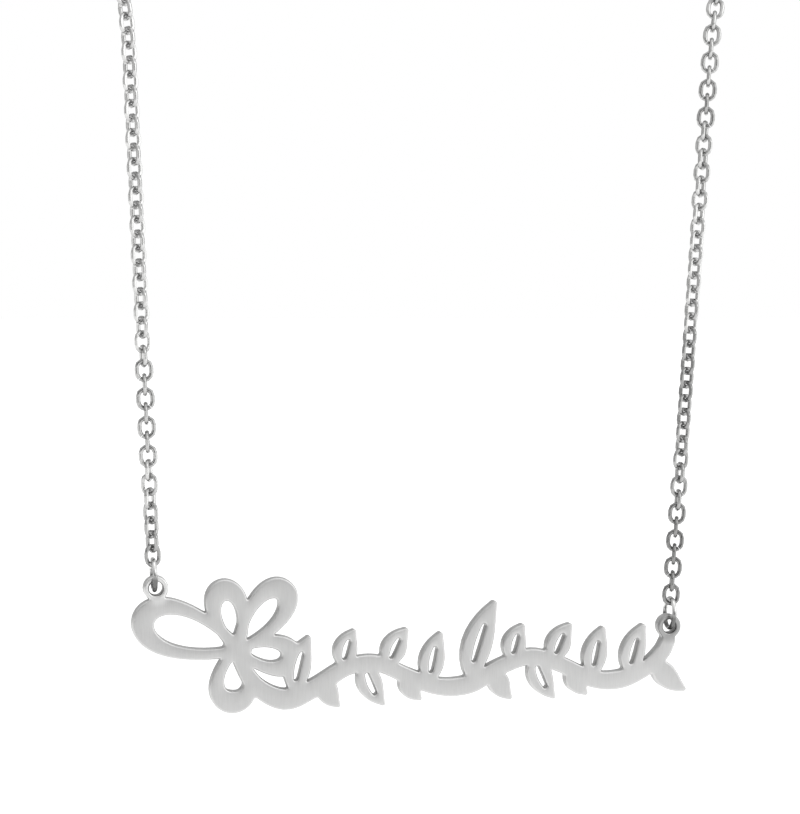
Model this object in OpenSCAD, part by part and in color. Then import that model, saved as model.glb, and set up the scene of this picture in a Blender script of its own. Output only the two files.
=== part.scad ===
// Nameplate necklace: a pierced plate of a blossom and a leafy stem, hung by two
// eyelets from a fine cable chain that goes once round the neck.
// The frame's origin is the middle of the neck opening, level with the nape.
// X runs to the right of a viewer in front, Y back to the nape, Z up.

/* [Nameplate] */
// Length of the plate from the left petal to the last leaf
plate_length = 48.5; // [42:0.5:56]
// Height of the plate from the lowest leaf to the top petal
plate_height = 11.5; // [10:0.1:13]
// Thickness of the plate's sheet
plate_thick = 1.2; // [1:0.1:1.5]
// Width of the broad strokes
broad_stroke = 1.9; // [1.6:0.05:2.2]
// Width of the fine strokes
fine_stroke = 0.9; // [0.7:0.05:1.1]
// Outer width of an eyelet
eyelet_outer = 2.1; // [2:0.05:2.4]
// Hole through an eyelet
eyelet_hole = 1.2; // [1.15:0.05:1.3]

/* [Jump rings] */
// Outer width of the ring in each eyelet
ring_outer = 2.95; // [2.9:0.05:3.4]
// Wire of that ring
ring_wire = 0.4; // [0.3:0.01:0.42]

/* [Chain] */
// Length of one link over its wire
link_length = 1.94; // [1.9:0.01:2.3]
// Width of one link over its wire
link_width = 1.5; // [1.4:0.01:1.7]
// Wire of a link
link_wire = 0.32; // [0.26:0.01:0.36]
// Links modelled one by one on each side, counted from the plate
single_links = 120; // [40:1:120]

/* [Clasp] */
// Length of the clasp with its tail eyelet
clasp_length = 11; // [10:0.1:13]
// Width of the clasp's claw
clasp_width = 5; // [4.6:0.1:6]
// Thickness of the claw
clasp_thick = 1.8; // [1.5:0.1:2]
// Wall of the claw round its mouth
claw_wall = 0.95; // [0.8:0.05:1.1]
// Outer width of the tail eyelet
tail_outer = 2.8; // [2.7:0.05:3.2]
// Hole through the tail eyelet
tail_hole = 1.5; // [1.4:0.05:1.6]
// Thickness of the tail eyelet
tail_thick = 0.9; // [0.7:0.05:1.1]
// Outer width of the ring between chain and clasp
clasp_ring_outer = 3.6; // [3.4:0.05:4]
// Wire of that ring
clasp_ring_wire = 0.5; // [0.4:0.01:0.55]
// Outer width of the ring that the claw holds
end_ring_outer = 4.4; // [4.2:0.05:5]
// Wire of that ring
end_ring_wire = 0.6; // [0.5:0.01:0.7]

/* [Worn form] */
// Width of the loop across the neck, between the chain's centre lines
neck_width = 96; // [88:1:110]
// From the middle of the neck forward to the hanging strands
front_reach = 52; // [45:0.5:60]
// From the middle of the neck back to the nape
nape_reach = 47.5; // [42:0.5:58]
// From the nape down to the plate's lowest leaf
plate_drop = 117.6; // [105:0.1:135]
// How far the plate hangs to the left of the middle
plate_shift = 1; // [0:0.1:3]
// From the nape down to the top of the straight strands
strand_top_drop = 62; // [50:0.5:75]
// Distance between the straight strands at their top
strand_top_width = 50.2; // [44:0.1:60]
// From the nape down to the chain's widest place
side_drop = 17; // [10:0.5:25]

/* [Hidden] */
$fn = 48;

LEFT = -1;
RIGHT = 1;
STEEL = [0.76, 0.76, 0.75];
CHAIN_STEEL = [0.58, 0.58, 0.57];

// The closest that two loose pieces come to each other
seat_gap = 0.11;
// Room round an eyelet's rim for the plate to swing in its rings
swing_gap = 0.15;
// How far the pull of its strand draws each jump ring outwards in its eyelet
ring_play = 0.1;
// Half the width of the narrowest crevice left open between two strokes
crevice = 0.15;
// Width of a leaf at its tip
leaf_tip = 0.42;
// Narrowest and widest place of the slit along a leaf
slit_ends = 0.34;
slit_middle = 0.5;
// Disc that joins the petals
heart_width = 2.4;

// The plate is drawn on 97 by 23 squares over its length and height
GRID = [plate_length / 97, plate_height / 23];
HEART = [17.8, 10.9];
EYELETS = [[4.1, 21.5], [93.7, 12.3]];
PETALS = [
  // [heading, reach, width]
  [161, 16.7, 10.6],
  [104, 10.2, 7.0],
  [51, 12.4, 7.8],
  [-12, 9.4, 6.6],
  [-97, 9.1, 8.2]
];
PETAL_STEPS = 32;
STEM = [
  // [along, up, share of the broad stroke]
  [17.8, 10.2, 0.5],
  [20.6, 4.8, 0.6],
  [25.6, 2.0, 0.9],
  [30.6, 3.6, 0.7],
  [36.4, 7.0, 0.5],
  [41.6, 7.6, 0.5],
  [46.8, 5.3, 0.5],
  [52.4, 3.2, 0.6],
  [58.0, 3.4, 0.7],
  [63.4, 6.2, 0.5],
  [69.0, 7.8, 0.5],
  [74.0, 6.3, 0.5],
  [79.6, 3.6, 0.6],
  [84.6, 3.2, 0.7],
  [89.4, 5.0, 0.5],
  [92.4, 7.6, 0.5],
  [93.6, 9.8, 0.4]
];
LEAVES = [
  // [along, up, heading, length, width, curl]
  [27.6, 3.0, 76, 9.6, 4.6, -34],
  [36.0, 7.2, 74, 6.2, 4.2, -44],
  [43.8, 7.0, 64, 6.8, 4.4, -40],
  [51.0, 3.8, 78, 8.6, 4.4, -30],
  [58.0, 4.0, 72, 14.0, 5.2, -24],
  [65.6, 7.2, 74, 6.2, 4.2, -44],
  [73.0, 6.8, 66, 6.8, 4.4, -40],
  [80.0, 4.0, 78, 8.4, 4.4, -30],
  [86.6, 4.0, 74, 8.8, 4.4, -30],
  [32.4, 5.4, -62, 5.4, 3.8, 44],
  [39.6, 7.6, -66, 7.6, 4.4, 40],
  [46.6, 5.6, -60, 5.0, 3.6, 44],
  [62.4, 5.8, -62, 5.6, 3.8, 44],
  [69.6, 7.8, -66, 7.8, 4.4, 40],
  [76.0, 5.6, -60, 5.2, 3.6, 44],
  [91.2, 6.6, -46, 7.6, 4.0, 40]
];

// Roll of the chain about its own line, as [link, degrees], beyond the quarter turn
// from each link to the next
LEFT_ROLL = [[0, 22], [2, 39], [5, 60], [7, 82], [13, 86], [15, 112], [17, 121], [34, 123]];
RIGHT_ROLL = [[0, -10], [2, -18], [5, -18], [8, -2], [12, 27], [26, 29], [29, 46], [33, 49],
  [35, 69], [38, 72]];

// How the curves leave the strands, pass the sides and reach the nape, as shares
STRAND_HANDLE = 0.5;
SIDE_HANDLE = 0.55;
SIDE_RISE = 0.42;

link_pitch = link_length - 2 * link_wire - seat_gap;
link_reach = link_length / 2 - link_wire - seat_gap;

// Jump ring, eyelet rim and the line that the plate swings about
ring_inner = ring_outer - 2 * ring_wire;
rim_width = (eyelet_outer - eyelet_hole) / 2;
rim_half_diagonal = norm([rim_width, plate_thick]) / 2;
pivot_rise = (eyelet_outer + eyelet_hole) / 4;
ring_rise = pivot_rise + ring_inner / 2 - rim_half_diagonal - swing_gap;
plate_corner = [-plate_length / 2 - plate_shift, -front_reach, -plate_drop];

// Clasp, with its length along X at the nape
tail_seat = 0.5;
claw_x = (clasp_length - clasp_width) / 2;
mouth_width = clasp_width - 2 * claw_wall;
mouth_end_x = claw_x + mouth_width / 2;
tail_x = (tail_outer - clasp_length) / 2;
clasp_ring_inner = clasp_ring_outer - 2 * clasp_ring_wire;
end_ring_inner = end_ring_outer - 2 * end_ring_wire;
clasp_ring_x = tail_x - tail_hole / 2 - held(clasp_ring_inner, tail_thick);
end_ring_x = mouth_end_x + held(end_ring_inner, clasp_thick);

// How far a bar of this thickness lies from the middle of the ring that holds it
function held(ring_inside, bar) = sqrt(pow(ring_inside / 2 - seat_gap, 2) - pow(bar / 2, 2));

// Points and frames of the chain's route

function eyelet(side) = plate_corner
  + [(side == LEFT ? EYELETS[0] : EYELETS[1])[0] * GRID[0], 0,
    (side == LEFT ? EYELETS[0] : EYELETS[1])[1] * GRID[1]];
function strand_top(side) = [side * strand_top_width / 2, -front_reach, -strand_top_drop];
function ring_centre(side) =
  let (pull = strand_top(side) - eyelet(side))
  eyelet(side) + ring_rise * pull / norm(pull) + [side * ring_play, 0, 0];
function strand_lean(side) = strand_top(side) - ring_centre(side);
function first_link(side) = ring_centre(side)
  + (ring_inner / 2 + link_reach) * strand_lean(side) / norm(strand_lean(side));
function last_link(side) = [
  side == LEFT ? clasp_ring_x - clasp_ring_inner / 2 - link_reach
    : end_ring_x + end_ring_inner / 2 + link_reach,
  nape_reach, 0];

function bezier(a, b, c, d, steps) = [
  for (i = [1 : steps])
    let (t = i / steps)
    pow(1 - t, 3) * a + 3 * pow(1 - t, 2) * t * b + 3 * (1 - t) * t * t * c + pow(t, 3) * d
];
function route_points(side) =
  let (top = strand_top(side))
  let (lean = strand_lean(side) / norm(strand_lean(side)))
  let (widest = [side * neck_width / 2, 0, -side_drop])
  let (back = [0, 1, SIDE_RISE] / norm([1, SIDE_RISE]))
  let (end = last_link(side))
  let (rise = strand_top_drop - side_drop)
  concat(
    [first_link(side), top],
    bezier(top, top + STRAND_HANDLE * rise * lean, widest - SIDE_HANDLE * front_reach * back, widest, 30),
    bezier(widest, widest + SIDE_HANDLE * nape_reach * back,
      end + [side * SIDE_HANDLE * (neck_width / 2 - abs(end[0])), 0, 0], end, 30)
  );
function distances(points) = [
  for (i = 0, run = 0; i < len(points);
    run = run + (i + 1 < len(points) ? norm(points[i + 1] - points[i]) : 0), i = i + 1) run
];
// A route as three tables, one for each axis, of [distance along, coordinate]
function route(side) =
  let (points = route_points(side))
  let (run = distances(points))
  [for (axis = [0 : 2]) [for (i = [0 : len(points) - 1]) [run[i], points[i][axis]]]];
function route_length(way) = way[0][len(way[0]) - 1][0];
function spot(way, run) = [lookup(run, way[0]), lookup(run, way[1]), lookup(run, way[2])];
function heading(way, run) =
  let (step = spot(way, run + link_pitch / 2) - spot(way, run - link_pitch / 2))
  step / norm(step);
// Whole links from the first to the last, at a spacing that shares out what is left over
function link_count(way) = 1 + round(route_length(way) / link_pitch);
function spacing(way) = route_length(way) / (link_count(way) - 1);
function roll(side, count, i) =
  let (table = side == LEFT ? LEFT_ROLL : RIGHT_ROLL)
  let (last_roll = (count - 1) % 2 == 0 ? 180 : 90)
  90 * i + lookup(i, concat(table, [[count - 1, last_roll]]));

// Outlines of the plate: lines of [x, y, width]

function stroke_width(share) = fine_stroke + share * (broad_stroke - fine_stroke);
function drawn(along, up, width) = [along * GRID[0], up * GRID[1], width];
function spline(a, b, c, d, t) =
  (2 * b + (c - a) * t + (2 * a - 5 * b + 4 * c - d) * t * t + (3 * b - a - 3 * c + d) * t * t * t) / 2;
function smooth(rows, steps) = [
  for (i = [0 : len(rows) - 2])
    let (before = i > 0 ? rows[i - 1] : 2 * rows[0] - rows[1])
    let (after = i < len(rows) - 2 ? rows[i + 2] : 2 * rows[i + 1] - rows[i])
    for (j = [0 : steps - 1]) spline(before, rows[i], rows[i + 1], after, j / steps),
  rows[len(rows) - 1]
];
function stem_line() = [for (row = smooth(STEM, 5)) drawn(row[0], row[1], stroke_width(row[2]))];
// A petal is a loop that leaves the heart, widens and comes back
function petal_line(row) = [
  for (i = [0 : PETAL_STEPS])
    let (t = 180 * i / PETAL_STEPS)
    let (along = row[1] * sin(t))
    let (across = 0.62 * row[2] * cos(t) * pow(sin(t), 0.75))
    drawn(HEART[0] + along * cos(row[0]) - across * sin(row[0]),
      HEART[1] + along * sin(row[0]) + across * cos(row[0]), stroke_width(pow(sin(t), 3)))
];
// The place at share t along a leaf's bent middle line
function leaf_spot(row, t, width) =
  let (way = row[2] + row[5] * (t - 1) / 2)
  drawn(row[0] + row[3] * t * cos(way), row[1] + row[3] * t * sin(way), width);
function leaf_line(row) = [
  for (i = [0 : 9])
    let (t = i / 9)
    leaf_spot(row, t, leaf_tip + (row[4] * GRID[1] - leaf_tip) * pow(sin(180 * pow(t, 0.85)), 0.9))
];
// The slit's line is narrower by the closing of the crevices, which widens it again
function slit_line(row) = [
  for (i = [0 : 4])
    leaf_spot(row, 0.26 + 0.11 * i,
      slit_ends + (slit_middle - slit_ends) * sin(45 * i) - 2 * crevice)
];
function edge(line, sign) = [
  for (i = [0 : len(line) - 1])
    let (p = line[max(0, i - 1)])
    let (q = line[min(len(line) - 1, i + 1)])
    let (across = [p[1] - q[1], q[0] - p[0]])
    [line[i][0], line[i][1]] + sign * line[i][2] / 2 * across / norm(across)
];

module stroke(line, end_sides = 12) {
  near = edge(line, 1);
  far = edge(line, -1);
  for (i = [0 : len(line) - 2])
    polygon([near[i], near[i + 1], far[i + 1], far[i]]);
  for (end = [line[0], line[len(line) - 1]])
    translate([end[0], end[1]])
      circle(d = end[2], $fn = end_sides);
}

module ornament() {
  offset(delta = -crevice)
    difference() {
      offset(delta = crevice) {
        for (row = PETALS)
          stroke(petal_line(row));
        stroke(stem_line());
        for (row = LEAVES)
          stroke(leaf_line(row));
        translate([HEART[0] * GRID[0], HEART[1] * GRID[1]])
          circle(d = heart_width, $fn = 32);
        for (place = EYELETS)
          translate([place[0] * GRID[0], place[1] * GRID[1]])
            circle(d = eyelet_outer - seat_gap, $fn = 32);
      }
      for (row = LEAVES)
        if (row[4] > 4)
          stroke(slit_line(row), 4);
    }
}

module nameplate() {
  color(STEEL)
    translate(plate_corner)
      rotate([90, 0, 0])
        difference() {
          union() {
            translate([0, 0, -plate_thick / 2])
              linear_extrude(plate_thick)
                ornament();
            for (place = EYELETS)
              translate([place[0] * GRID[0], place[1] * GRID[1], 0])
                cylinder(d = eyelet_outer, h = plate_thick, center = true);
          }
          for (place = EYELETS)
            translate([place[0] * GRID[0], place[1] * GRID[1], 0])
              cylinder(d = eyelet_hole, h = plate_thick + 1, center = true);
        }
}

module ring(outer, wire) {
  rotate_extrude()
    translate([(outer - wire) / 2, 0])
      circle(d = wire);
}

// The ring stands square to the plate and leans with its strand
module jump_ring(side) {
  lean = strand_lean(side);
  color(CHAIN_STEEL)
    translate(ring_centre(side))
      rotate([0, atan2(lean[0], lean[2]) + 90, 0])
        ring(ring_outer, ring_wire);
}

// One link, long along Z and broad along X
module chain_link() {
  bend = (link_width - link_wire) / 2;
  leg = link_length - link_width;
  translate([0, 0, leg / 2])
    rotate([90, 0, 0])
      rotate_extrude(angle = 180)
        translate([bend, 0])
          circle(d = link_wire);
  translate([0, 0, -leg / 2])
    rotate([-90, 0, 0])
      rotate_extrude(angle = 180)
        translate([bend, 0])
          circle(d = link_wire);
  translate([bend, 0, -leg / 2])
    cylinder(d = link_wire, h = leg);
  translate([-bend, 0, -leg / 2])
    cylinder(d = link_wire, h = leg);
}

module chain(side) {
  way = route(side);
  count = link_count(way);
  color(CHAIN_STEEL)
    for (i = [0 : min(single_links, count) - 1])
      let (aim = heading(way, i * spacing(way)))
      let (turn = atan2(aim[1], aim[0]))
      translate(spot(way, i * spacing(way)))
        rotate([0, acos(aim[2]), turn])
          rotate([0, 0, roll(side, count, i) - turn])
            chain_link();
}

// The rest of a side as a closed tube of the chain's width
module nape_chain(side) {
  sides = 8;
  way = route(side);
  ring_wire_here = side == LEFT ? clasp_ring_wire : end_ring_wire;
  start = (single_links - 1) * spacing(way) + link_length / 2 + seat_gap;
  end = route_length(way) + link_reach - ring_wire_here - seat_gap;
  rings = ceil((end - start) / (2.5 * link_width));
  points = [
    for (i = [0 : rings])
      let (run = start + (end - start) * i / rings)
      let (at = i == rings ? last_link(side) - [side, 0, 0] * (end - route_length(way)) : spot(way, run))
      let (aim = heading(way, min(run, route_length(way))))
      let (across = [1 - aim[0] * aim[0] / (1 + aim[2]), -aim[0] * aim[1] / (1 + aim[2]), -aim[0]])
      let (up = cross(aim, across))
      for (j = [0 : sides - 1])
        at + link_width / 2 * (cos(360 * j / sides) * across + sin(360 * j / sides) * up)
  ];
  faces = concat(
    [for (j = [1 : sides - 2]) [0, j, j + 1]],
    [for (i = [0 : rings - 1], j = [0 : sides - 1])
      let (here = i * sides + j)
      let (next = i * sides + (j + 1) % sides)
      each [[here, here + sides, next + sides], [here, next + sides, next]]],
    [for (j = [1 : sides - 2]) [rings * sides, rings * sides + j + 1, rings * sides + j]]
  );
  color(CHAIN_STEEL)
    polyhedron(points, faces);
}

module clasp_ring() {
  color(STEEL)
    translate([clasp_ring_x, nape_reach, 0])
      ring(clasp_ring_outer, clasp_ring_wire);
}

module end_ring() {
  color(STEEL)
    translate([end_ring_x, nape_reach, 0])
      ring(end_ring_outer, end_ring_wire);
}

// A closed claw in one piece with its tail eyelet, flat against the nape
module clasp() {
  heel = tail_outer * 0.8;
  heel_x = tail_x + tail_outer / 2 + heel / 2 - tail_seat;
  color(STEEL)
    translate([0, nape_reach, 0])
      rotate([90, 0, 0])
        difference() {
          union() {
            translate([0, 0, -clasp_thick / 2])
              linear_extrude(clasp_thick)
                hull() {
                  translate([claw_x, 0])
                    circle(d = clasp_width);
                  translate([heel_x, 0])
                    circle(d = heel);
                }
            translate([tail_x, 0, 0])
              cylinder(d = tail_outer, h = tail_thick, center = true);
          }
          translate([0, 0, -clasp_thick])
            linear_extrude(2 * clasp_thick)
              hull() {
                translate([claw_x, 0])
                  circle(d = mouth_width);
                translate([claw_x - mouth_width, 0])
                  circle(d = mouth_width / 2);
              }
          translate([tail_x, 0, 0])
            cylinder(d = tail_hole, h = 2 * clasp_thick, center = true);
        }
}

nameplate();
jump_ring(LEFT);  // jump_ring_left
jump_ring(RIGHT);  // jump_ring_right
chain(LEFT);  // chain_left
chain(RIGHT);  // chain_right
nape_chain(LEFT);  // nape_chain_left
nape_chain(RIGHT);  // nape_chain_right
clasp_ring();
clasp();
end_ring();
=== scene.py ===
import bpy
import numpy as np
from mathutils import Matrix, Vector
from mathutils.geometry import delaunay_2d_cdt


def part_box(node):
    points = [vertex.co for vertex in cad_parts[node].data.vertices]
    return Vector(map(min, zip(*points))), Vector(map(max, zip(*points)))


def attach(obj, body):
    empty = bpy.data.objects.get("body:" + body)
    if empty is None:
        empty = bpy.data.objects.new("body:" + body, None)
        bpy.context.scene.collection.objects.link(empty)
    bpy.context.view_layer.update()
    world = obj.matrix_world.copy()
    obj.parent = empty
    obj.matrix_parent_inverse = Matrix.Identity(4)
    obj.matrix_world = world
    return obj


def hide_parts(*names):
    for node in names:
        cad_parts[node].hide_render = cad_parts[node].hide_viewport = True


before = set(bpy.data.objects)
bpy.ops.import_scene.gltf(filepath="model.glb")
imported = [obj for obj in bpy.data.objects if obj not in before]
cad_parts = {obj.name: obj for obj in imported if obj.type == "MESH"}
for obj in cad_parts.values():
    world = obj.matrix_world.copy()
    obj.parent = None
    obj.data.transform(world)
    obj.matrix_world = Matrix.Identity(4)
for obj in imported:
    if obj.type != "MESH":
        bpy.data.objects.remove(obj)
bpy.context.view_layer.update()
scene = bpy.context.scene
scene.view_settings.view_transform = "Standard"

# The view. The plate is seen from 12 degrees to its left and a little above it, through
# a long lens 200 mm away, so that both strands of the chain leave the picture at the top.
VIEW_TURN, VIEW_RISE, VIEW_DISTANCE = np.radians(-12.0), np.radians(3.5), 0.2
VIEW_MIDDLE = Vector((-0.00234, -0.052, -0.092))
SENSOR_WIDTH, LENS_LENGTH = 36.0, 104.2
NEAREST_SEEN, FARTHEST_SEEN = 0.005, 50.0
view_back = Vector((
    np.sin(VIEW_TURN) * np.cos(VIEW_RISE),
    -np.cos(VIEW_TURN) * np.cos(VIEW_RISE),
    np.sin(VIEW_RISE),
))
camera = bpy.data.objects.new("camera", bpy.data.cameras.new("camera"))
camera.data.sensor_width, camera.data.lens = SENSOR_WIDTH, LENS_LENGTH
camera.data.clip_start, camera.data.clip_end = NEAREST_SEEN, FARTHEST_SEEN
camera.location = VIEW_MIDDLE + VIEW_DISTANCE * view_back
camera.rotation_euler = view_back.to_track_quat("Z", "Y").to_euler()
scene.collection.objects.link(camera)
scene.camera = camera


# The nameplate is laser-cut from 1.2 mm stainless sheet: a blossom and a leafy stem.
# Its faces are brushed to a satin, tumbling has rounded and brightened every rim, and the
# cut walls stay a darker grey. It is one piece with the eyelets that its rings pass through.
MM = 0.001

# In mm: the points' spacing along its outlines, its rims' radius, how far its faces fall
# away at an edge and how soon that fades, and the spacing of the net over its faces.
PLATE_STEP, PLATE_RIM = 0.1, 0.16
PLATE_SAG, PLATE_SAG_REACH, PLATE_FILL = 0.055, 0.4, 0.22

# A face's first row of points lies FACE_ROW rims inside the outline, and it takes at most
# TIP_SHARE of the room at a sharp tip. The net's spots keep NET_CLEAR of their spacing from
# that row, and their own rows lie NET_ROWS of it apart.
FACE_ROW, TIP_SHARE, NET_CLEAR, NET_ROWS = 1.2, 0.75, 0.4, 0.866

# In mm: the widest hole of an eyelet, how far from its middle the plate is painted lighter at
# the left eyelet and painted darker, as shade, at the right one, how far inside an outline the
# rim wears brighter, and over what distance each of the two fades. The rim's wear is RIM_SHARE
# of the full step that an eyelet gets.
EYELET_HOLE, EYELET_PAINT_REACH, EYELET_FADE = 1.3, 1.6, 0.5
RIM_RUB, RIM_FADE, RIM_SHARE = 0.2, 0.1, 0.5


def face_outlines(node):
    """Closed outlines of a flat node's front face in mm, as (x, z) with the metal on the left.

    An edge that only one triangle of the face has lies on an outline, and Blender's change
    from mesh to curve strings such edges into closed lines. Points are one where they agree
    to 0.1 micron, and a triangle is on the face where its corners lie within a micron of it."""
    mesh = node.data
    points = np.empty(len(mesh.vertices) * 3, np.float32)
    mesh.vertices.foreach_get("co", points)
    points = points.reshape(-1, 3)
    mesh.calc_loop_triangles()
    corners = np.empty(len(mesh.loop_triangles) * 3, np.int32)
    mesh.loop_triangles.foreach_get("vertices", corners)
    corners = corners.reshape(-1, 3)
    on_face = (points[corners, 1] < points[:, 1].min() + 1e-6).all(1)
    per_metre = 1e7
    spots, same = np.unique(np.round(points * per_metre).astype(np.int64), axis=0, return_inverse=True)
    ring = same.ravel()[corners[on_face]]
    edges = np.sort(np.concatenate([ring[:, [0, 1]], ring[:, [1, 2]], ring[:, [2, 0]]]), axis=1)
    edges, uses = np.unique(edges, axis=0, return_counts=True)
    used, short = np.unique(edges[uses == 1], return_inverse=True)
    wire = bpy.data.meshes.new("outline")
    wire.from_pydata((spots[used] / per_metre / MM).tolist(), short.reshape(-1, 2).tolist(), [])
    line = bpy.data.objects.new("outline", wire)
    scene.collection.objects.link(line)
    picked = [line]
    with bpy.context.temp_override(
            active_object=line, object=line, selected_objects=picked, selected_editable_objects=picked):
        bpy.ops.object.convert(target="CURVE")
    loops = []
    for spline in line.data.splines:
        flat = np.empty(len(spline.points) * 4, np.float32)
        spline.points.foreach_get("co", flat)
        loops.append(flat.reshape(-1, 4)[:, [0, 2]].astype(float))
    bpy.data.objects.remove(line)
    turn = [np.sum(p[:, 0] * np.roll(p[:, 1], -1) - np.roll(p[:, 0], -1) * p[:, 1]) for p in loops]
    outer = int(np.argmax(np.abs(turn)))
    return [p if (t > 0) == (i == outer) else p[::-1] for i, (p, t) in enumerate(zip(loops, turn))]


def evened(loop, step, fewest=24):
    """The same closed line with a point about every step along it, where three passes of
    (last + 2 this + next) / 4 round off the facets."""
    closed = np.vstack([loop, loop[:1]])
    run = np.concatenate([[0.0], np.cumsum(np.hypot(*np.diff(closed, axis=0).T))])
    count = max(fewest, int(round(run[-1] / step)))
    at = np.arange(count) * run[-1] / count
    even = np.column_stack([np.interp(at, run, closed[:, k]) for k in (0, 1)])
    for _ in range(3):
        even = (np.roll(even, 1, 0) + 2.0 * even + np.roll(even, -1, 0)) / 4.0
    return even


def outward(loop):
    """Unit normals of a closed line that leave the metal: the tangent (p, q) turned to (q, -p)."""
    along = np.roll(loop, -1, 0) - np.roll(loop, 1, 0)
    along /= np.linalg.norm(along, axis=1)[:, None]
    return np.column_stack([along[:, 1], -along[:, 0]])


def in_parts(rows, most=400):
    """The rows in parts, so that a table of each row against a whole line stays small."""
    return np.array_split(rows, 1 + len(rows) // most)


def way_in(spots, line, blur=0.12):
    """For each spot its distance to the nearest point of the line, and the way in from the
    line: the mean of the unit vectors that reach it from the line's points, each weighed
    by e^(-(its distance - the nearest) / blur), so that it fades out halfway between edges."""
    distance, heading = [], []
    for part in in_parts(spots):
        reach = part[:, None] - line[None]
        far = np.maximum(np.linalg.norm(reach, axis=2), 1e-9)
        nearest = far.min(1)
        weight = np.exp(-(far - nearest[:, None]) / blur)
        distance.append(nearest)
        heading.append((reach * (weight / far)[..., None]).sum(1) / weight.sum(1)[:, None])
    return np.concatenate(distance), np.vstack(heading)


def inside(spots, loops):
    """True for a spot from which a ray to the right crosses the loops' edges an odd number of times."""
    a = np.vstack(loops)
    b = np.vstack([np.roll(p, -1, 0) for p in loops])
    rise = np.where(b[:, 1] == a[:, 1], 1.0, b[:, 1] - a[:, 1])
    parts = []
    for part in in_parts(spots):
        x, z = part[:, :1], part[:, 1:]
        spans = (a[:, 1] > z) != (b[:, 1] > z)
        to_right = x < a[:, 0] + (z - a[:, 1]) * (b[:, 0] - a[:, 0]) / rise
        parts.append((spans & to_right).sum(1) % 2 == 1)
    return np.concatenate(parts)


def room_inside(line, normal, following, boundless=1000.0):
    """For each point p of a line the radius of the largest circle inside the metal that
    touches the line there: |p - q|^2 / (2 n.(p - q)) at its smallest over the other points
    q, with the normal n at p. It is then lowered to the least within four points on either
    side, and evened out along the line."""
    parts = []
    for part, out in zip(in_parts(line), in_parts(normal)):
        gap = part[:, None] - line[None]
        lean = np.maximum((gap * out[:, None]).sum(2), 1e-9)
        parts.append(((gap ** 2).sum(2) / (2 * lean) + boundless * (lean < 1e-6)).min(1))
    room = np.concatenate(parts)
    before = np.argsort(following)
    for _ in range(4):
        room = np.minimum(room, np.minimum(room[following], room[before]))
    for _ in range(6):
        room = (room[following] + 2.0 * room + room[before]) / 4.0
    return room


def rim_rows(line, normal, following, rim, sag, reach):
    """The rows of points over one edge, from the face to the cut wall: how far inside the
    outline and behind the face each point lies, and how far each row's normal has turned.

    At the angle t of the quarter round a point lies rim (1 - sin t) inside the outline and
    rim (1 - cos t) behind the face, and less than that at sharp tips. The face itself falls
    away by sag e^(-d / reach) at the distance d from the outline."""
    turn = np.radians([0.0, 0.0, 22.5, 45.0, 67.5, 90.0])
    inset = rim * (1.0 - np.sin(turn))
    inset[0] = FACE_ROW * rim
    tilt = turn + np.arctan(sag / reach * np.exp(-inset / reach)) * np.cos(turn)
    share = np.minimum(TIP_SHARE * room_inside(line, normal, following) / inset[0], 1.0)
    inset = inset[:, None] * share
    depth = rim * (1.0 - np.cos(turn))[:, None] * share + sag * np.exp(-inset / reach)
    return inset, depth, tilt


def face_net(loops, edge, following, clear, fill):
    """Spots and triangles of a face: a Delaunay net over its edge row, whose spots come
    first, and a lattice of spots that keeps clear of the outline."""
    line = np.vstack(loops)
    across = np.arange(line[:, 0].min(), line[:, 0].max(), fill)
    up = np.arange(line[:, 1].min(), line[:, 1].max(), fill * NET_ROWS)
    lattice = np.stack(np.meshgrid(across, up), axis=2)
    lattice[1::2, :, 0] += fill / 2
    lattice = lattice.reshape(-1, 2)
    lattice = lattice[inside(lattice, loops)]
    lattice = lattice[way_in(lattice, line)[0] > clear]
    held = np.column_stack([np.arange(len(line)), following]).tolist()
    given = [Vector(spot) for spot in np.vstack([edge, lattice])]
    net = delaunay_2d_cdt(given, held, [], 0, 1e-7, False)
    spots = np.array([tuple(spot) for spot in net[0]])
    facets = np.array(net[2])
    edge_loops = np.split(edge, np.cumsum([len(p) for p in loops])[:-1])
    return spots, facets[inside(spots[facets].mean(1), edge_loops)]


def quads_between(rows, following):
    """The faces between rows of points: (row, k), (row + 1, k), (row + 1, the one that
    follows k), (row, the one that follows k), row after row."""
    count = len(following)
    row_start = (np.arange(rows - 1) * count)[:, None]
    here, beside = (row_start + np.arange(count)).ravel(), (row_start + following).ravel()
    return np.column_stack([here, here + count, beside + count, beside])


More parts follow.
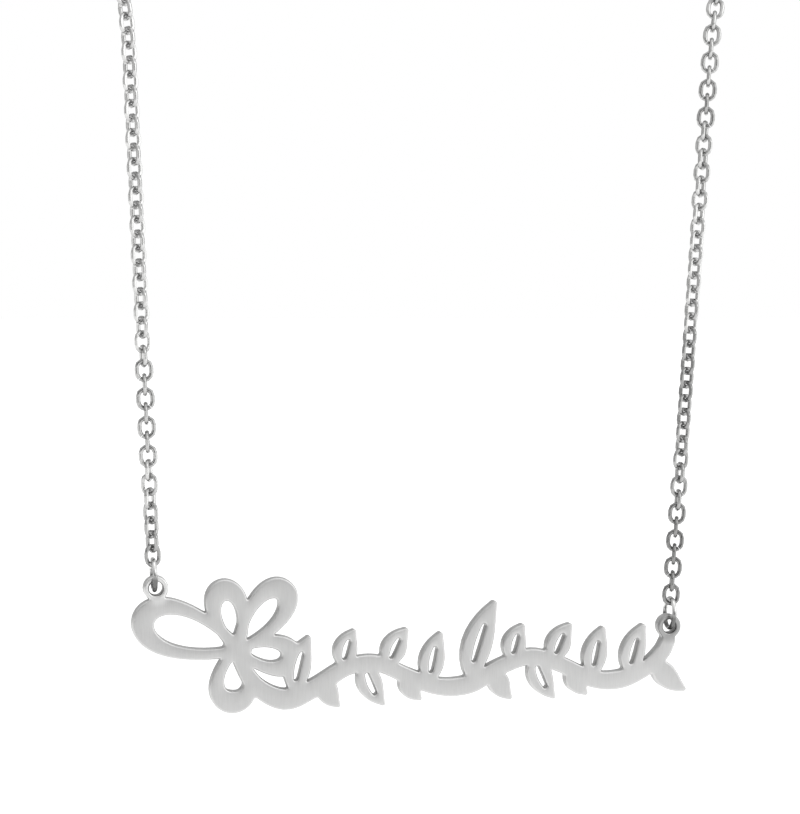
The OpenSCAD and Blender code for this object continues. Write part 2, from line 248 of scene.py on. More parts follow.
def cut_plate(loops, low, high, rim, sag, reach, fill):
    """A piece cut along closed outlines between y = low and y = high, in mm: its points,
    their normals, how far inside the outline each lies, and the faces of its rims, its cut
    walls, and its front and back. The back mirrors the front, and the normals follow from
    the same formulas as the points, so that the net doesn't show."""
    line, normal = np.vstack(loops), np.vstack([outward(p) for p in loops])
    count = len(line)
    start = np.cumsum([0] + [len(p) for p in loops[:-1]])
    following = np.concatenate([s + (np.arange(len(p)) + 1) % len(p) for s, p in zip(start, loops)])
    inset, depth, tilt = rim_rows(line, normal, following, rim, sag, reach)
    inset = np.concatenate([inset, inset[::-1]])
    level = np.concatenate([low + depth, (high - depth)[::-1]])
    flat = line - inset[..., None] * normal
    shell = np.stack([flat[..., 0], level, flat[..., 1]], axis=2).reshape(-1, 3)
    sideways = np.concatenate([np.sin(tilt), np.sin(tilt)[::-1]])[:, None]
    faceward = np.concatenate([-np.cos(tilt), np.cos(tilt)[::-1]])[:, None]
    shell_out = np.broadcast_arrays(sideways * normal[:, 0], faceward, sideways * normal[:, 1])
    rows = len(inset)
    quads = quads_between(rows, following)
    is_wall = np.repeat(np.arange(rows - 1) == rows // 2 - 1, count)

    spots, facets = face_net(loops, flat[0], following, FACE_ROW * rim + NET_CLEAR * fill, fill)
    spots = spots[count:]
    distance, inward = way_in(spots, line)
    dip = sag * np.exp(-distance / reach)
    out = np.column_stack([-dip / reach * inward[:, 0], -np.ones(len(spots)), -dip / reach * inward[:, 1]])
    out /= np.linalg.norm(out, axis=1)[:, None]
    front = np.column_stack([spots[:, 0], low + dip, spots[:, 1]])
    back = np.column_stack([spots[:, 0], high - dip, spots[:, 1]])
    edge, own = np.arange(count), len(shell) + np.arange(len(spots))
    in_front = np.concatenate([edge, own])
    at_back = np.concatenate([(rows - 1) * count + edge, len(spots) + own])
    return {
        "points": np.vstack([shell, front, back]),
        "normals": np.vstack([np.stack(shell_out, axis=2).reshape(-1, 3), out, out * (1, -1, 1)]),
        "far_in": np.concatenate([inset.ravel(), distance, distance]),
        "rims": quads[~is_wall],
        "walls": quads[is_wall],
        "faces": np.vstack([in_front[facets], at_back[facets[:, ::-1]]]),
    }


def cut_mesh(name, *cuts):
    """One mesh of what cut_plate gives, once or more. Its second material is for cut walls."""
    faces, is_wall, first = [], [], 0
    for cut in cuts:
        for part in ("rims", "walls", "faces"):
            faces += (first + cut[part]).tolist()
            is_wall += [part == "walls"] * len(cut[part])
        first += len(cut["points"])
    mesh = bpy.data.meshes.new(name)
    mesh.from_pydata((np.vstack([cut["points"] for cut in cuts]) * MM).tolist(), [], faces)
    mesh.polygons.foreach_set("material_index", np.array(is_wall, np.int32))
    mesh.polygons.foreach_set("use_smooth", np.ones(len(faces), bool))
    mesh.normals_split_custom_set_from_vertices(np.vstack([cut["normals"] for cut in cuts]).tolist())
    return mesh


def mark(mesh, name, values):
    """Gives each point of a mesh a value, for the mesh's material to read."""
    mesh.attributes.new(name, "FLOAT", "POINT").data.foreach_set("value", values.astype(np.float32))


def rim_wear_and_painted_eyelets(points, far_in, loops):
    """How each point wears and is painted: (the eyelet reach - d) / EYELET_FADE, held between 0
    and 1, at the distance d from an eyelet's middle, positive at the left eyelet, which is painted
    light, and negative at the right one, which is painted shade. Elsewhere it is RIM_SHARE times
    (RIM_RUB - e) / RIM_FADE, held likewise, at the distance e inside the outline, for the rim's wear."""
    middles = np.array([hole.mean(0) for hole in loops if (np.ptp(hole, axis=0) < EYELET_HOLE).all()])
    apart = np.linalg.norm(points[:, None, [0, 2]] - middles[None], axis=2)
    near = np.clip((EYELET_PAINT_REACH - apart) / EYELET_FADE, 0, 1)
    at_rim = np.clip((RIM_RUB - far_in) / RIM_FADE, 0, 1)
    return (near * -np.sign(middles[:, 0])).sum(1) + RIM_SHARE * at_rim * (1 - near.sum(1))


def bare_steel(name):
    """A new metal material: itself, its node tree, its shader and its Object coordinates."""
    material = bpy.data.materials.new(name)
    material.use_nodes = True
    tree = material.node_tree
    shader = tree.nodes["Principled BSDF"]
    shader.inputs["Metallic"].default_value = 1.0
    return material, tree, shader, tree.nodes.new("ShaderNodeTexCoord").outputs["Object"]


def grain(tree, place, scale, detail=2.0, rotation=(0.0, 0.0, 0.0)):
    """Noise with so many spots to a metre along x, y and z, after the rotation."""
    drawn_out = tree.nodes.new("ShaderNodeMapping")
    drawn_out.inputs["Rotation"].default_value = rotation
    drawn_out.inputs["Scale"].default_value = scale
    spots = tree.nodes.new("ShaderNodeTexNoise")
    spots.inputs["Scale"].default_value = 1.0
    spots.inputs["Detail"].default_value = detail
    tree.links.new(place, drawn_out.inputs["Vector"])
    tree.links.new(drawn_out.outputs["Vector"], spots.inputs["Vector"])
    return spots.outputs["Fac"]


def marked(tree, name):
    """The value that mark gave each point under this name."""
    reader = tree.nodes.new("ShaderNodeAttribute")
    reader.attribute_name = name
    return reader.outputs["Fac"]


def spread(tree, value, low, high, start=0.0, end=1.0):
    """From low to high as the value goes from start to end, and no further."""
    scale = tree.nodes.new("ShaderNodeMapRange")
    scale.inputs["From Min"].default_value, scale.inputs["From Max"].default_value = start, end
    scale.inputs["To Min"].default_value, scale.inputs["To Max"].default_value = low, high
    tree.links.new(value, scale.inputs["Value"])
    return scale.outputs["Result"]


def tinted(tree, value, dark, light, start=0.0, end=1.0):
    """From the colour dark to the colour light as the value goes from start to end."""
    ramp = tree.nodes.new("ShaderNodeValToRGB")
    ramp.color_ramp.elements[0].position, ramp.color_ramp.elements[1].position = start, end
    ramp.color_ramp.elements[0].color = (*dark, 1.0)
    ramp.color_ramp.elements[1].color = (*light, 1.0)
    tree.links.new(value, ramp.inputs["Fac"])
    return ramp.outputs["Color"]


def multiplied(tree, one, other):
    """The product of two values."""
    product = tree.nodes.new("ShaderNodeMath")
    product.operation = "MULTIPLY"
    tree.links.new(one, product.inputs[0])
    tree.links.new(other, product.inputs[1])
    return product.outputs["Value"]


def lined(tree, height, strength, distance):
    """The normals of a relief, distance in metres deep as its height goes from 0 to 1."""
    relief = tree.nodes.new("ShaderNodeBump")
    relief.inputs["Strength"].default_value = strength
    relief.inputs["Distance"].default_value = distance
    tree.links.new(height, relief.inputs["Height"])
    return relief.outputs["Normal"]


def satin_steel():
    """Steel with a faint upright brushing and clouds in its gloss and tone, lighter where its rims
    wear, painted lighter about the left eyelet and painted darker, as shade, about the right one."""
    material, tree, shader, place = bare_steel("satin_steel")
    lines = grain(tree, place, scale=(13000.0, 700.0, 700.0), detail=3.0)
    clouds = grain(tree, place, scale=(180.0, 180.0, 180.0), detail=4.0)
    tone = tinted(tree, lines, dark=(0.48, 0.48, 0.477), light=(0.515, 0.515, 0.512), start=0.3, end=0.7)
    cloudy = spread(tree, clouds, low=0.96, high=1.04, start=0.3, end=0.7)
    # Rim wear, with painted light about the left eyelet and painted shade about the right one.
    wear_and_painted_light = spread(tree, marked(tree, "rim_wear_and_painted_eyelets"), low=0.7, high=1.3, start=-1.0, end=1.0)
    shaded = tree.nodes.new("ShaderNodeVectorMath")
    shaded.operation = "SCALE"
    link = tree.links.new
    link(tone, shaded.inputs[0])
    link(multiplied(tree, cloudy, wear_and_painted_light), shaded.inputs["Scale"])
    link(shaded.outputs["Vector"], shader.inputs["Base Color"])
    link(spread(tree, clouds, low=0.26, high=0.4), shader.inputs["Roughness"])
    link(lined(tree, lines, strength=0.04, distance=0.00001), shader.inputs["Normal"])
    return material


def laser_cut_steel():
    """Dull grey steel whose fine lines run through the sheet, from front to back."""
    material, tree, shader, place = bare_steel("laser_cut_steel")
    shader.inputs["Roughness"].default_value = 0.55
    lines = grain(tree, place, scale=(14000.0, 900.0, 14000.0))
    tone = tinted(tree, lines, dark=(0.45, 0.45, 0.45), light=(0.55, 0.55, 0.545), start=0.35, end=0.65)
    tree.links.new(tone, shader.inputs["Base Color"])
    tree.links.new(lined(tree, lines, strength=0.3, distance=0.00002), shader.inputs["Normal"])
    return material


def in_scene(mesh, *materials):
    """A new object of this mesh and its name in the scene, at the origin."""
    for material in materials:
        mesh.materials.append(material)
    piece = bpy.data.objects.new(mesh.name, mesh)
    scene.collection.objects.link(piece)
    return piece


plate_low, plate_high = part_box("nameplate")
plate_loops = [evened(p, PLATE_STEP) for p in face_outlines(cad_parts["nameplate"])]
plate_cut = cut_plate(plate_loops, low=plate_low.y / MM, high=plate_high.y / MM,
    rim=PLATE_RIM, sag=PLATE_SAG, reach=PLATE_SAG_REACH, fill=PLATE_FILL)
plate = in_scene(cut_mesh("cut_plate", plate_cut), satin_steel(), laser_cut_steel())
# Rim wear, with painted light about the left eyelet and painted shade about the right one.
mark(plate.data, "rim_wear_and_painted_eyelets", rim_wear_and_painted_eyelets(plate_cut["points"], plate_cut["far_in"], plate_loops))
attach(plate, "nameplate")
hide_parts("nameplate")


# The two jump rings are bent from round steel wire, a little stouter than the chain's,
# and pressed shut with a hairline butt at the back. Each leans with its strand, has painted
# light on its upper half and painted shade on its lower half in the eyelet, and is painted
# dark, as dirt and shade, where it presses on the eyelet and on the first link.
SIDES = ((-1, "left"), (1, "right"))

# In mm, -1 for the left: how far the front lies from the neck, a ring's width and wire,
# its butt's angle in degrees, its middle, and the top of the straight strand above it.
FRONT_REACH = 52.0
JUMP_RING_OUTER, JUMP_RING_WIRE, JUMP_RING_BUTT = 2.95, 0.4, 105.0
JUMP_RING_MIDDLE = {-1: (-23.3469, -FRONT_REACH, -105.742), 1: (21.7783, -FRONT_REACH, -110.344)}
STRAND_TOP = {-1: (-25.1, -FRONT_REACH, -62.0), 1: (25.1, -FRONT_REACH, -62.0)}


def wire_mesh(name, points, quads, ends, corner_normals):
    """A mesh of points in mm, with a given normal at each corner of its faces."""
    mesh = bpy.data.meshes.new(name)
    mesh.from_pydata((points * MM).tolist(), [], quads.tolist() + ends.tolist())
    mesh.polygons.foreach_set("use_smooth", np.ones(len(quads) + len(ends), bool))
    mesh.normals_split_custom_set(corner_normals.tolist())
    return mesh


def bent_ring(name, middle, across, along, outer, wire, butt, gap=0.03, steps=72, around=12):
    """Mesh of a ring of round wire in mm: the point at angle a round the ring and v round
    the wire lies at middle + (R + r cos v)(across cos a + along sin a) + r sin v (across x
    along). The angle a runs from butt round to butt again, less the gap. It is painted dark,
    as dirt and painted shade, by (|cos a| - 0.72) / 0.24 times 0.6 - 0.4 cos v, most of all
    inside it where it crosses across and opposite, and its shade is 0.3 - 1.4 cos a, painted
    shade towards across and painted light away from it, each held between 0 and 1."""
    across, along = np.array(across, float), np.array(along, float)
    axis = np.cross(across, along)
    bend, r = (outer - wire) / 2, wire / 2
    half = gap / 2 / bend
    a = np.radians(butt) + np.linspace(half, 2 * np.pi - half, steps)[:, None, None]
    v = (2 * np.pi * np.arange(around) / around)[None, :, None]
    way_out = across * np.cos(a) + along * np.sin(a)
    points = np.array(middle) + (bend + r * np.cos(v)) * way_out + r * np.sin(v) * axis
    normals = np.cos(v) * way_out + np.sin(v) * axis
    quads = quads_between(steps, (np.arange(around) + 1) % around)
    butts = np.stack([np.arange(around), (steps - 1) * around + np.arange(around)[::-1]])
    forward = (along * np.cos(a) - across * np.sin(a))[[0, -1], 0] * [[-1.0], [1.0]]
    corner_normals = np.vstack([normals.reshape(-1, 3)[quads.ravel()], np.repeat(forward, around, axis=0)])
    mesh = wire_mesh(name, points.reshape(-1, 3), quads, butts, corner_normals)
    # Dirt and painted shade where the ring presses on the eyelet and on the link.
    ring_dirt_and_shade = np.clip((np.abs(np.cos(a)) - 0.72) / 0.24, 0, 1) * np.clip(0.6 - 0.4 * np.cos(v), 0, 1)
    mark(mesh, "joint_dirt_and_shade", ring_dirt_and_shade.ravel())
    # Painted shade towards across and painted light away from it.
    mark(mesh, "shade", np.repeat(np.clip(0.3 - 1.4 * np.cos(a), 0, 1), around))
    return mesh


def mixed(tree, factor, start, end):
    """From start, a colour or another node's, to the colour end as the factor grows."""
    mix = tree.nodes.new("ShaderNodeMix")
    mix.data_type = "RGBA"
    mix.inputs["B"].default_value = (*end, 1.0)
    if isinstance(start, tuple):
        mix.inputs["A"].default_value = (*start, 1.0)
    else:
        tree.links.new(start, mix.inputs["A"])
    tree.links.new(factor, mix.inputs["Factor"])
    return mix.outputs["Result"]


def drawn_wire_steel(name, shaded_tone, lit_tone, dirt_and_shade_tone):
    """Bright steel wire: from a painted-shade tone to a painted-light tone as its shade says,
    towards a third tone, for dirt and painted shade, where pieces press on each other, with
    fine clouds in its gloss."""
    material, tree, shader, place = bare_steel(name)
    clouds = grain(tree, place, scale=(3000.0, 3000.0, 3000.0), detail=3.0)
    lit_and_shaded = mixed(tree, marked(tree, "shade"), (shaded_tone, shaded_tone, 0.99 * shaded_tone), (lit_tone, lit_tone, 0.99 * lit_tone))
    with_dirt_and_shade = mixed(tree, marked(tree, "joint_dirt_and_shade"), lit_and_shaded, (dirt_and_shade_tone, dirt_and_shade_tone, dirt_and_shade_tone))
    tree.links.new(with_dirt_and_shade, shader.inputs["Base Color"])
    tree.links.new(spread(tree, clouds, low=0.14, high=0.26), shader.inputs["Roughness"])
    return material


# The jump rings' painted shade and painted light tones, and their dark tone for dirt and shade.
ring_steel = drawn_wire_steel("jump_ring_steel", shaded_tone=0.16, lit_tone=0.75, dirt_and_shade_tone=0.1)
for side, which in SIDES:
    lean = np.array(STRAND_TOP[side]) - JUMP_RING_MIDDLE[side]
    down = -lean / np.linalg.norm(lean)
    ring_mesh = bent_ring("closed_ring_" + which, JUMP_RING_MIDDLE[side], across=down, along=(0, 1, 0),
        outer=JUMP_RING_OUTER, wire=JUMP_RING_WIRE, butt=JUMP_RING_BUTT)
    jump_ring = in_scene(ring_mesh, ring_steel)
    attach(jump_ring, "necklace")
    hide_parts("jump_ring_" + which)


# The chain is a fine cable chain of oval links in bright drawn wire, each a quarter
# turn from the last. Each link is bent round and butted, low on one side. Both strands
# run from the jump rings over the collar to the nape.

# In mm: a link's length, width and wire, the play between two links, and the gap of a
# link's butt, which lies at BUTT_ANGLE in degrees.
LINK_LENGTH, LINK_WIDTH, LINK_WIRE, LINK_SEAT = 1.94, 1.5, 0.32, 0.11
BUTT_ANGLE, BUTT_GAP = 312.0, 0.05

# In mm: how far the route reaches to the sides and back, how low it lies at the sides, and
# the middles of its end links. At the sides it rises by COLLAR_RISE of its way back, and
# its curves' handles take HANDLE of their reach, as on a quarter of an ellipse.
WIDEST, NAPE_REACH, SIDE_DROP, COLLAR_RISE, HANDLE = 48.0, 47.5, 17.0, 0.42, 0.55
FIRST_LINK = {-1: (-23.4116, -FRONT_REACH, -104.128), 1: (21.889, -FRONT_REACH, -108.732)}
LAST_LINK = {-1: (-7.7916, NAPE_REACH, 0.0), 1: (7.8775, NAPE_REACH, 0.0)}

# The wire has six corners, so far out that its flats lie near the wire's own radius, and
# its normals lean less than its flats do at the front and back, as on wire pressed flat.
CORNERS, CORNER_NORMALS = (0.0, 60.0, 120.0, 180.0, 240.0, 300.0), (0.0, 72.0, 108.0, 180.0, 252.0, 288.0)
CORNER_REACH = 1.18

# How each strand twists in degrees, and how much painted light its links get, from painted
# shade at 0 to painted light at 1, at links counted from the plate.
ROLL = {
    -1: [(0, 22), (2, 39), (5, 60), (7, 82), (13, 86), (15, 112), (17, 121), (34, 123)],
    1: [(0, -10), (2, -18), (5, -18), (8, -2), (12, 27), (26, 29), (29, 46), (33, 49), (35, 69), (38, 72)],
}
PAINTED_LINK_LIGHT = {
    -1: [(0, 0.32), (2, 0.48), (4, 0.74), (6, 0.85), (8, 0.63), (11, 0.55), (14, 0.85), (24, 0.9), (26, 0.77),
        (29, 0.94)],
    1: [(0, 0.14), (5, 0.16), (7, 0.42), (10, 0.49), (13, 0.32), (16, 0.2), (18, 0.3), (20, 0.65), (28, 0.9),
        (34, 0.72), (36, 0.45), (38, 0.8)],
}


def cubic(a, b, c, d, steps=30):
    """(1-t)^3 a + 3 (1-t)^2 t b + 3 (1-t) t^2 c + t^3 d for t after 0 up to 1."""
    t = (np.arange(steps) + 1.0)[:, None] / steps
    return (1 - t) ** 3 * a + 3 * (1 - t) ** 2 * t * b + 3 * (1 - t) * t ** 2 * c + t ** 3 * d


def chain_route(side):
    """Points of one side's line: the straight strand, then a curve to the widest place
    beside the neck and a curve from there to the nape."""
    first, top, last = (np.array(p[side]) for p in (FIRST_LINK, STRAND_TOP, LAST_LINK))
    lean = (top - first) / np.linalg.norm(top - first)
    widest = np.array([side * WIDEST, 0.0, -SIDE_DROP])
    back = np.array([0.0, 1.0, COLLAR_RISE]) / np.hypot(1.0, COLLAR_RISE)
    sideways = np.array([side * HANDLE * (WIDEST - abs(last[0])), 0.0, 0.0])
    rise = -top[2] - SIDE_DROP
    over_collar = cubic(top, top + 0.5 * rise * lean, widest - HANDLE * FRONT_REACH * back, widest)
    to_nape = cubic(widest, widest + HANDLE * NAPE_REACH * back, last + sideways, last)
    return np.vstack([first, top, over_collar, to_nape])


def spots_on(way, run, at):
    """The points at given lengths along a line, whose own points lie at the lengths run."""
    return np.column_stack([np.interp(at, run, way[:, k]) for k in range(3)])


def about_z(angle):
    """One matrix for each angle that turns by it about the z axis."""
    cos, sin, none, one = np.cos(angle), np.sin(angle), np.zeros(len(angle)), np.ones(len(angle))
    return np.array([[cos, -sin, none], [sin, cos, none], [none, none, one]]).transpose(2, 0, 1)


def about_y(angle):
    """One matrix for each angle that turns by it about the y axis."""
    cos, sin, none, one = np.cos(angle), np.sin(angle), np.zeros(len(angle)), np.ones(len(angle))
    return np.array([[cos, none, sin], [none, one, none], [-sin, none, cos]]).transpose(2, 0, 1)


def hung_links(side):
    """The middle of each link of one side, and the matrix that turns it,
    Rz(turn) Ry(tilt) Rz(roll - turn): turn and tilt say how the route runs there, and the
    roll grows by 90 degrees a link beside the strand's own twist. The last link ends
    upright, across the nape's ring."""
    way = chain_route(side)
    run = np.concatenate([[0.0], np.cumsum(np.linalg.norm(np.diff(way, axis=0), axis=1))])
    pitch = LINK_LENGTH - 2 * LINK_WIRE - LINK_SEAT
    count = 1 + int(np.floor(run[-1] / pitch + 0.5))
    at = np.arange(count) * run[-1] / (count - 1)
    aim = spots_on(way, run, at + pitch / 2) - spots_on(way, run, at - pitch / 2)
    aim /= np.linalg.norm(aim, axis=1)[:, None]
    last_twist = 180 if (count - 1) % 2 == 0 else 90
    twist = np.array(ROLL[side] + [(count - 1, last_twist)], float)
    index = np.arange(count)
    roll = np.radians(90.0 * index + np.interp(index, twist[:, 0], twist[:, 1]))
    turn, tilt = np.arctan2(aim[:, 1], aim[:, 0]), np.arccos(np.clip(aim[:, 2], -1, 1))
    return spots_on(way, run, at), about_z(turn) @ about_y(tilt) @ about_z(roll - turn)


def link_wire_line():
    """Middle of a link's wire from butt to butt and its way out of the bend, both as
    (x, 0, z): two half circles joined by straight legs."""
    bend, leg = (LINK_WIDTH - LINK_WIRE) / 2, LINK_LENGTH - LINK_WIDTH
    half_gap = np.degrees(BUTT_GAP / 2 / bend)
    lower = np.radians([BUTT_ANGLE + half_gap, (BUTT_ANGLE + half_gap + 360) / 2, 360.0])
    upper = np.radians(np.linspace(0.0, 180.0, 6))
    rest = np.radians(np.linspace(180.0, BUTT_ANGLE - half_gap, 5))
    angle = np.concatenate([lower, upper, rest])
    height = np.repeat([-leg / 2, leg / 2, -leg / 2], [len(lower), len(upper), len(rest)])
    level = np.zeros(len(angle))
    way_out = np.column_stack([np.cos(angle), level, np.sin(angle)])
    return bend * way_out + np.column_stack([level, level, height]), way_out


def round_wire(way_out, degrees):
    """The direction way out cos v + y sin v for each row and each angle v round the wire."""
    v = np.radians(degrees)[:, None]
    return way_out[:, None] * np.cos(v) + np.array([0.0, 1.0, 0.0]) * np.sin(v)


def chain_links(name, side):
    """Mesh of all links of one side. A point of a link lies at its middle + its matrix x
    (wire line + r (way out cos v + y sin v)), for the six angles v of the wire's corners.
    It is painted dark, as dirt and painted shade between links, by (|z| - 0.38) / 0.34 times
    0.72 - 0.28 cos v, most of all inside its ends. Its shade, painted light and shade by stretch,
    is its strand's table's, moved by up to 0.05 either way by the fraction of
    43758.5453 sin(12.9898 i + 3.1 side) at link i, which has no order."""
    middles, matrices = hung_links(side)
    wire_line, way_out = link_wire_line()
    rows, around, index = len(wire_line), len(CORNERS), np.arange(len(middles))
    ring = (wire_line[:, None] + CORNER_REACH * LINK_WIRE / 2 * round_wire(way_out, CORNERS)).reshape(-1, 3)
    points = middles[:, None] + np.einsum("nij,pj->npi", matrices, ring)
    quads = quads_between(rows, (np.arange(around) + 1) % around)[:, [0, 3, 2, 1]]
    butts = np.stack([np.arange(around)[::-1], (rows - 1) * around + np.arange(around)])
    first = (index * len(ring))[:, None, None]
    over = round_wire(way_out, CORNER_NORMALS).reshape(-1, 3)[quads.ravel()]
    start, end = way_out[0], way_out[-1]
    ends = np.repeat([[start[2], 0.0, -start[0]], [-end[2], 0.0, end[0]]], around, axis=0)
    normals = [np.einsum("nij,pj->npi", matrices, part).reshape(-1, 3) for part in (over, ends)]
    mesh = wire_mesh(name, points.reshape(-1, 3), (quads + first).reshape(-1, 4),
        (butts + first).reshape(-1, around), np.vstack(normals))
    # Dirt and painted shade inside each link's ends, where the next link sits.
    at_end = np.clip((np.abs(ring[:, 2]) - 0.38) / 0.34, 0, 1)
    inner = np.clip(0.72 - 0.28 * np.tile(np.cos(np.radians(CORNERS)), rows), 0, 1)
    mark(mesh, "joint_dirt_and_shade", np.tile(at_end * inner, len(index)))
    # Painted light and shade for each stretch of links, from the strand's table.
    shine = np.array(PAINTED_LINK_LIGHT[side])
    chance = (np.sin(index * 12.9898 + side * 3.1) * 43758.5453) % 1.0
    shade = np.interp(index, shine[:, 0], shine[:, 1]) + 0.1 * (chance - 0.5)
    mark(mesh, "shade", np.repeat(shade, len(ring)))
    return mesh


# The links' painted shade and painted light tones, and their dark tone for dirt and shade at joints.
link_steel = drawn_wire_steel("link_steel", shaded_tone=0.2, lit_tone=0.72, dirt_and_shade_tone=0.26)
for side, which in SIDES:
    links = in_scene(chain_links("links_" + which, side), link_steel)
    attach(links, "necklace")
    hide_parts("chain_" + which, "nape_chain_" + which)


# At the nape a lobster clasp closes the chain, pressed and tumbled from polished steel in
# one piece with its flat tail eyelet. A bent ring holds its tail to the left side, and its
# claw holds the bigger ring that ends the right side.

# In mm: where each ring lies along x, its width, wire and butt's angle in degrees, then
# the clasp and its tail, with points, rims, fall and net as on the plate.
CLASP_RING_X, CLASP_RING_OUTER, CLASP_RING_WIRE, CLASP_RING_BUTT = -5.95164, 3.6, 0.5, 130.0
END_RING_X, END_RING_OUTER, END_RING_WIRE, END_RING_BUTT = 5.73748, 4.4, 0.6, 50.0
CLASP_STEP, CLASP_RIM, CLASP_DOME, CLASP_DOME_REACH, CLASP_FILL = 0.12, 0.3, 0.06, 0.5, 0.25
TAIL_X, TAIL_OUTER, TAIL_HOLE, TAIL_THICK = -4.1, 2.8, 1.5, 0.9
TAIL_RIM, TAIL_DOME, TAIL_DOME_REACH, TAIL_FILL = 0.2, 0.02, 0.3, 0.2


def circle_loop(x, radius, turn=1, steps=72):
    """A circle about (x, 0) as a closed line, counterclockwise where turn is 1."""
    a = turn * np.linspace(0, 2 * np.pi, steps + 1)[:-1]
    return np.column_stack([x + radius * np.cos(a), radius * np.sin(a)])


def polished_steel():
    """Polished steel with faint clouds in its gloss and tone and fine crossing scratches."""
    material, tree, shader, place = bare_steel("polished_steel")
    scratches = grain(tree, place, scale=(500.0, 4000.0, 9000.0), rotation=(0.0, 0.5, 0.0))
    clouds = grain(tree, place, scale=(900.0, 900.0, 900.0), detail=4.0)
    tone = tinted(tree, clouds, dark=(0.48, 0.48, 0.475), light=(0.6, 0.6, 0.595))
    tree.links.new(tone, shader.inputs["Base Color"])
    tree.links.new(spread(tree, clouds, low=0.12, high=0.24), shader.inputs["Roughness"])
    tree.links.new(lined(tree, scratches, strength=0.1, distance=0.00001), shader.inputs["Normal"])
    return material


clasp_low, clasp_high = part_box("clasp")
clasp_loops = [evened(p, CLASP_STEP) for p in face_outlines(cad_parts["clasp"])]
claw = cut_plate(clasp_loops, low=clasp_low.y / MM, high=clasp_high.y / MM,
    rim=CLASP_RIM, sag=CLASP_DOME, reach=CLASP_DOME_REACH, fill=CLASP_FILL)
tail_loops = [circle_loop(TAIL_X, TAIL_OUTER / 2), circle_loop(TAIL_X, TAIL_HOLE / 2, turn=-1)]
tail = cut_plate(tail_loops, low=NAPE_REACH - TAIL_THICK / 2, high=NAPE_REACH + TAIL_THICK / 2,
    rim=TAIL_RIM, sag=TAIL_DOME, reach=TAIL_DOME_REACH, fill=TAIL_FILL)
clasp_steel = polished_steel()
# The nape rings get the same painted light and shade, only faintly, and dark joints of dirt and shade.
nape_ring_steel = drawn_wire_steel("nape_ring_steel", shaded_tone=0.54, lit_tone=0.66, dirt_and_shade_tone=0.2)
closed_clasp = in_scene(cut_mesh("closed_clasp", claw, tail), clasp_steel, clasp_steel)
tail_ring = in_scene(bent_ring("tail_ring", (CLASP_RING_X, NAPE_REACH, 0), across=(1, 0, 0), along=(0, 1, 0),
    outer=CLASP_RING_OUTER, wire=CLASP_RING_WIRE, butt=CLASP_RING_BUTT), nape_ring_steel)
claw_ring = in_scene(bent_ring("claw_ring", (END_RING_X, NAPE_REACH, 0), across=(1, 0, 0), along=(0, 1, 0),
    outer=END_RING_OUTER, wire=END_RING_WIRE, butt=END_RING_BUTT), nape_ring_steel)
for piece, node in ((closed_clasp, "clasp"), (tail_ring, "clasp_ring"), (claw_ring, "end_ring")):
    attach(piece, "necklace")
    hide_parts(node)


# The studio: a wide white floor well below the plate, and a white tent all round that is
# brightest above and to the right and dimmer behind. A dark flag stands behind the
# camera, so that steel which faces the camera squarely looks dark.

# In metres: the floor's level and radius, half the flag's width, its lower and upper edge,
# the spot that it stands a metre from, and the spot that the lights face. FLAG_TURN is how
# far the flag stands round from the front.
FLOOR_LEVEL, FLOOR_RADIUS, FLOOR_CORNERS = -0.3, 9.0, 96
FLAG_TURN, FLAG_HALF_WIDTH, FLAG_BOTTOM, FLAG_TOP = np.radians(-18.0), 0.24, -0.2, 0.15
FLAG_FACES = (0.0, -0.05)
SCREENS_FACE = (0.0, -0.03, -0.09)


def plain_paper(name, tone, glow):
    """Matt paper of one tone, which also glows a little as if lit from all sides."""
    material = bpy.data.materials.new(name)
    material.use_nodes = True
    shader = material.node_tree.nodes["Principled BSDF"]
    shader.inputs["Base Color"].default_value = (tone, tone, tone, 1.0)
    shader.inputs["Roughness"].default_value = 0.9
    shader.inputs["Specular IOR Level"].default_value = 0.1
    shader.inputs["Emission Color"].default_value = (1.0, 1.0, 1.0, 1.0)
    shader.inputs["Emission Strength"].default_value = glow
    return material


def one_sheet(name, corners):
    """Mesh of a single flat face."""
    mesh = bpy.data.meshes.new(name)
    mesh.from_pydata(corners, [], [tuple(range(len(corners)))])
    return mesh


def soft_screen(name, place, size, power):
    """A square area light that faces the plate."""
    lamp = bpy.data.lights.new(name, "AREA")
    lamp.shape, lamp.size, lamp.energy = "SQUARE", size, power
    screen = bpy.data.objects.new(name, lamp)
    screen.location = place
    screen.rotation_euler = (Vector(place) - Vector(SCREENS_FACE)).to_track_quat("Z", "Y").to_euler()
    screen.visible_camera = False
    scene.collection.objects.link(screen)


def times_plus(tree, value, factor, more):
    """The value times the factor, plus more, which is a number or another value."""
    total = tree.nodes.new("ShaderNodeMath")
    total.operation = "MULTIPLY_ADD"
    total.inputs[1].default_value = factor
    tree.links.new(value, total.inputs[0])
    if isinstance(more, float):
        total.inputs[2].default_value = more
    else:
        tree.links.new(more, total.inputs[2])
    return total.outputs["Value"]


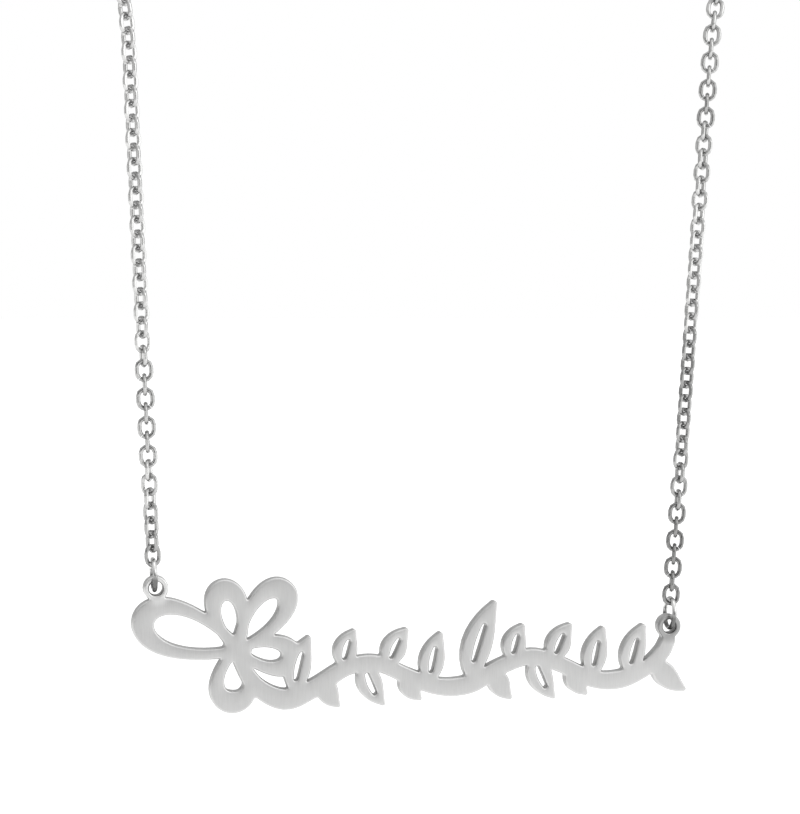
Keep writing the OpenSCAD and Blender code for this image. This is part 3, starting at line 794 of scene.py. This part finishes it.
level = np.full((FLOOR_CORNERS, 1), FLOOR_LEVEL)
floor_edge = np.hstack([circle_loop(0.0, FLOOR_RADIUS, steps=FLOOR_CORNERS), level])
floor = in_scene(one_sheet("floor", floor_edge.tolist()), plain_paper("white_paper", tone=0.9, glow=0.42))
flag_place = np.array([np.sin(FLAG_TURN), -np.cos(FLAG_TURN)]) + FLAG_FACES
flag_across = FLAG_HALF_WIDTH * np.array([np.cos(FLAG_TURN), np.sin(FLAG_TURN)])
flag_left, flag_right = (flag_place - flag_across).tolist(), (flag_place + flag_across).tolist()
flag_corners = [
    (*flag_left, FLAG_BOTTOM), (*flag_right, FLAG_BOTTOM),
    (*flag_right, FLAG_TOP), (*flag_left, FLAG_TOP),
]
flag = in_scene(one_sheet("flag", flag_corners), plain_paper("dark_felt", tone=0.05, glow=0.0))
flag.visible_camera = False

studio = bpy.data.worlds.new("studio")
scene.world = studio
studio.use_nodes = True
tree = studio.node_tree
air = tree.nodes["Background"]
air.inputs["Color"].default_value = (1.0, 1.0, 1.0, 1.0)
toward = tree.nodes.new("ShaderNodeTexCoord")
axes = tree.nodes.new("ShaderNodeSeparateXYZ")
tree.links.new(toward.outputs["Generated"], axes.inputs["Vector"])
behind = spread(tree, axes.outputs["Y"], low=0.72, high=0.56, start=-0.4, end=0.5)
above = times_plus(tree, axes.outputs["Z"], factor=0.55, more=1.0)
rightward = times_plus(tree, axes.outputs["X"], factor=0.2, more=above)
ray = tree.nodes.new("ShaderNodeLightPath")
seen = tree.nodes.new("ShaderNodeMix")
seen.data_type = "FLOAT"
seen.inputs["B"].default_value = 1.0
tree.links.new(ray.outputs["Is Camera Ray"], seen.inputs["Factor"])
tree.links.new(multiplied(tree, behind, rightward), seen.inputs["A"])
tree.links.new(seen.outputs["Result"], air.inputs["Strength"])

soft_screen("key", place=(0.62, -0.85, 0.32), size=0.6, power=1.5)
soft_screen("side", place=(1.1, -0.3, 0.1), size=0.8, power=1.6)
soft_screen("top", place=(0.1, -0.1, 1.1), size=0.9, power=1.2)
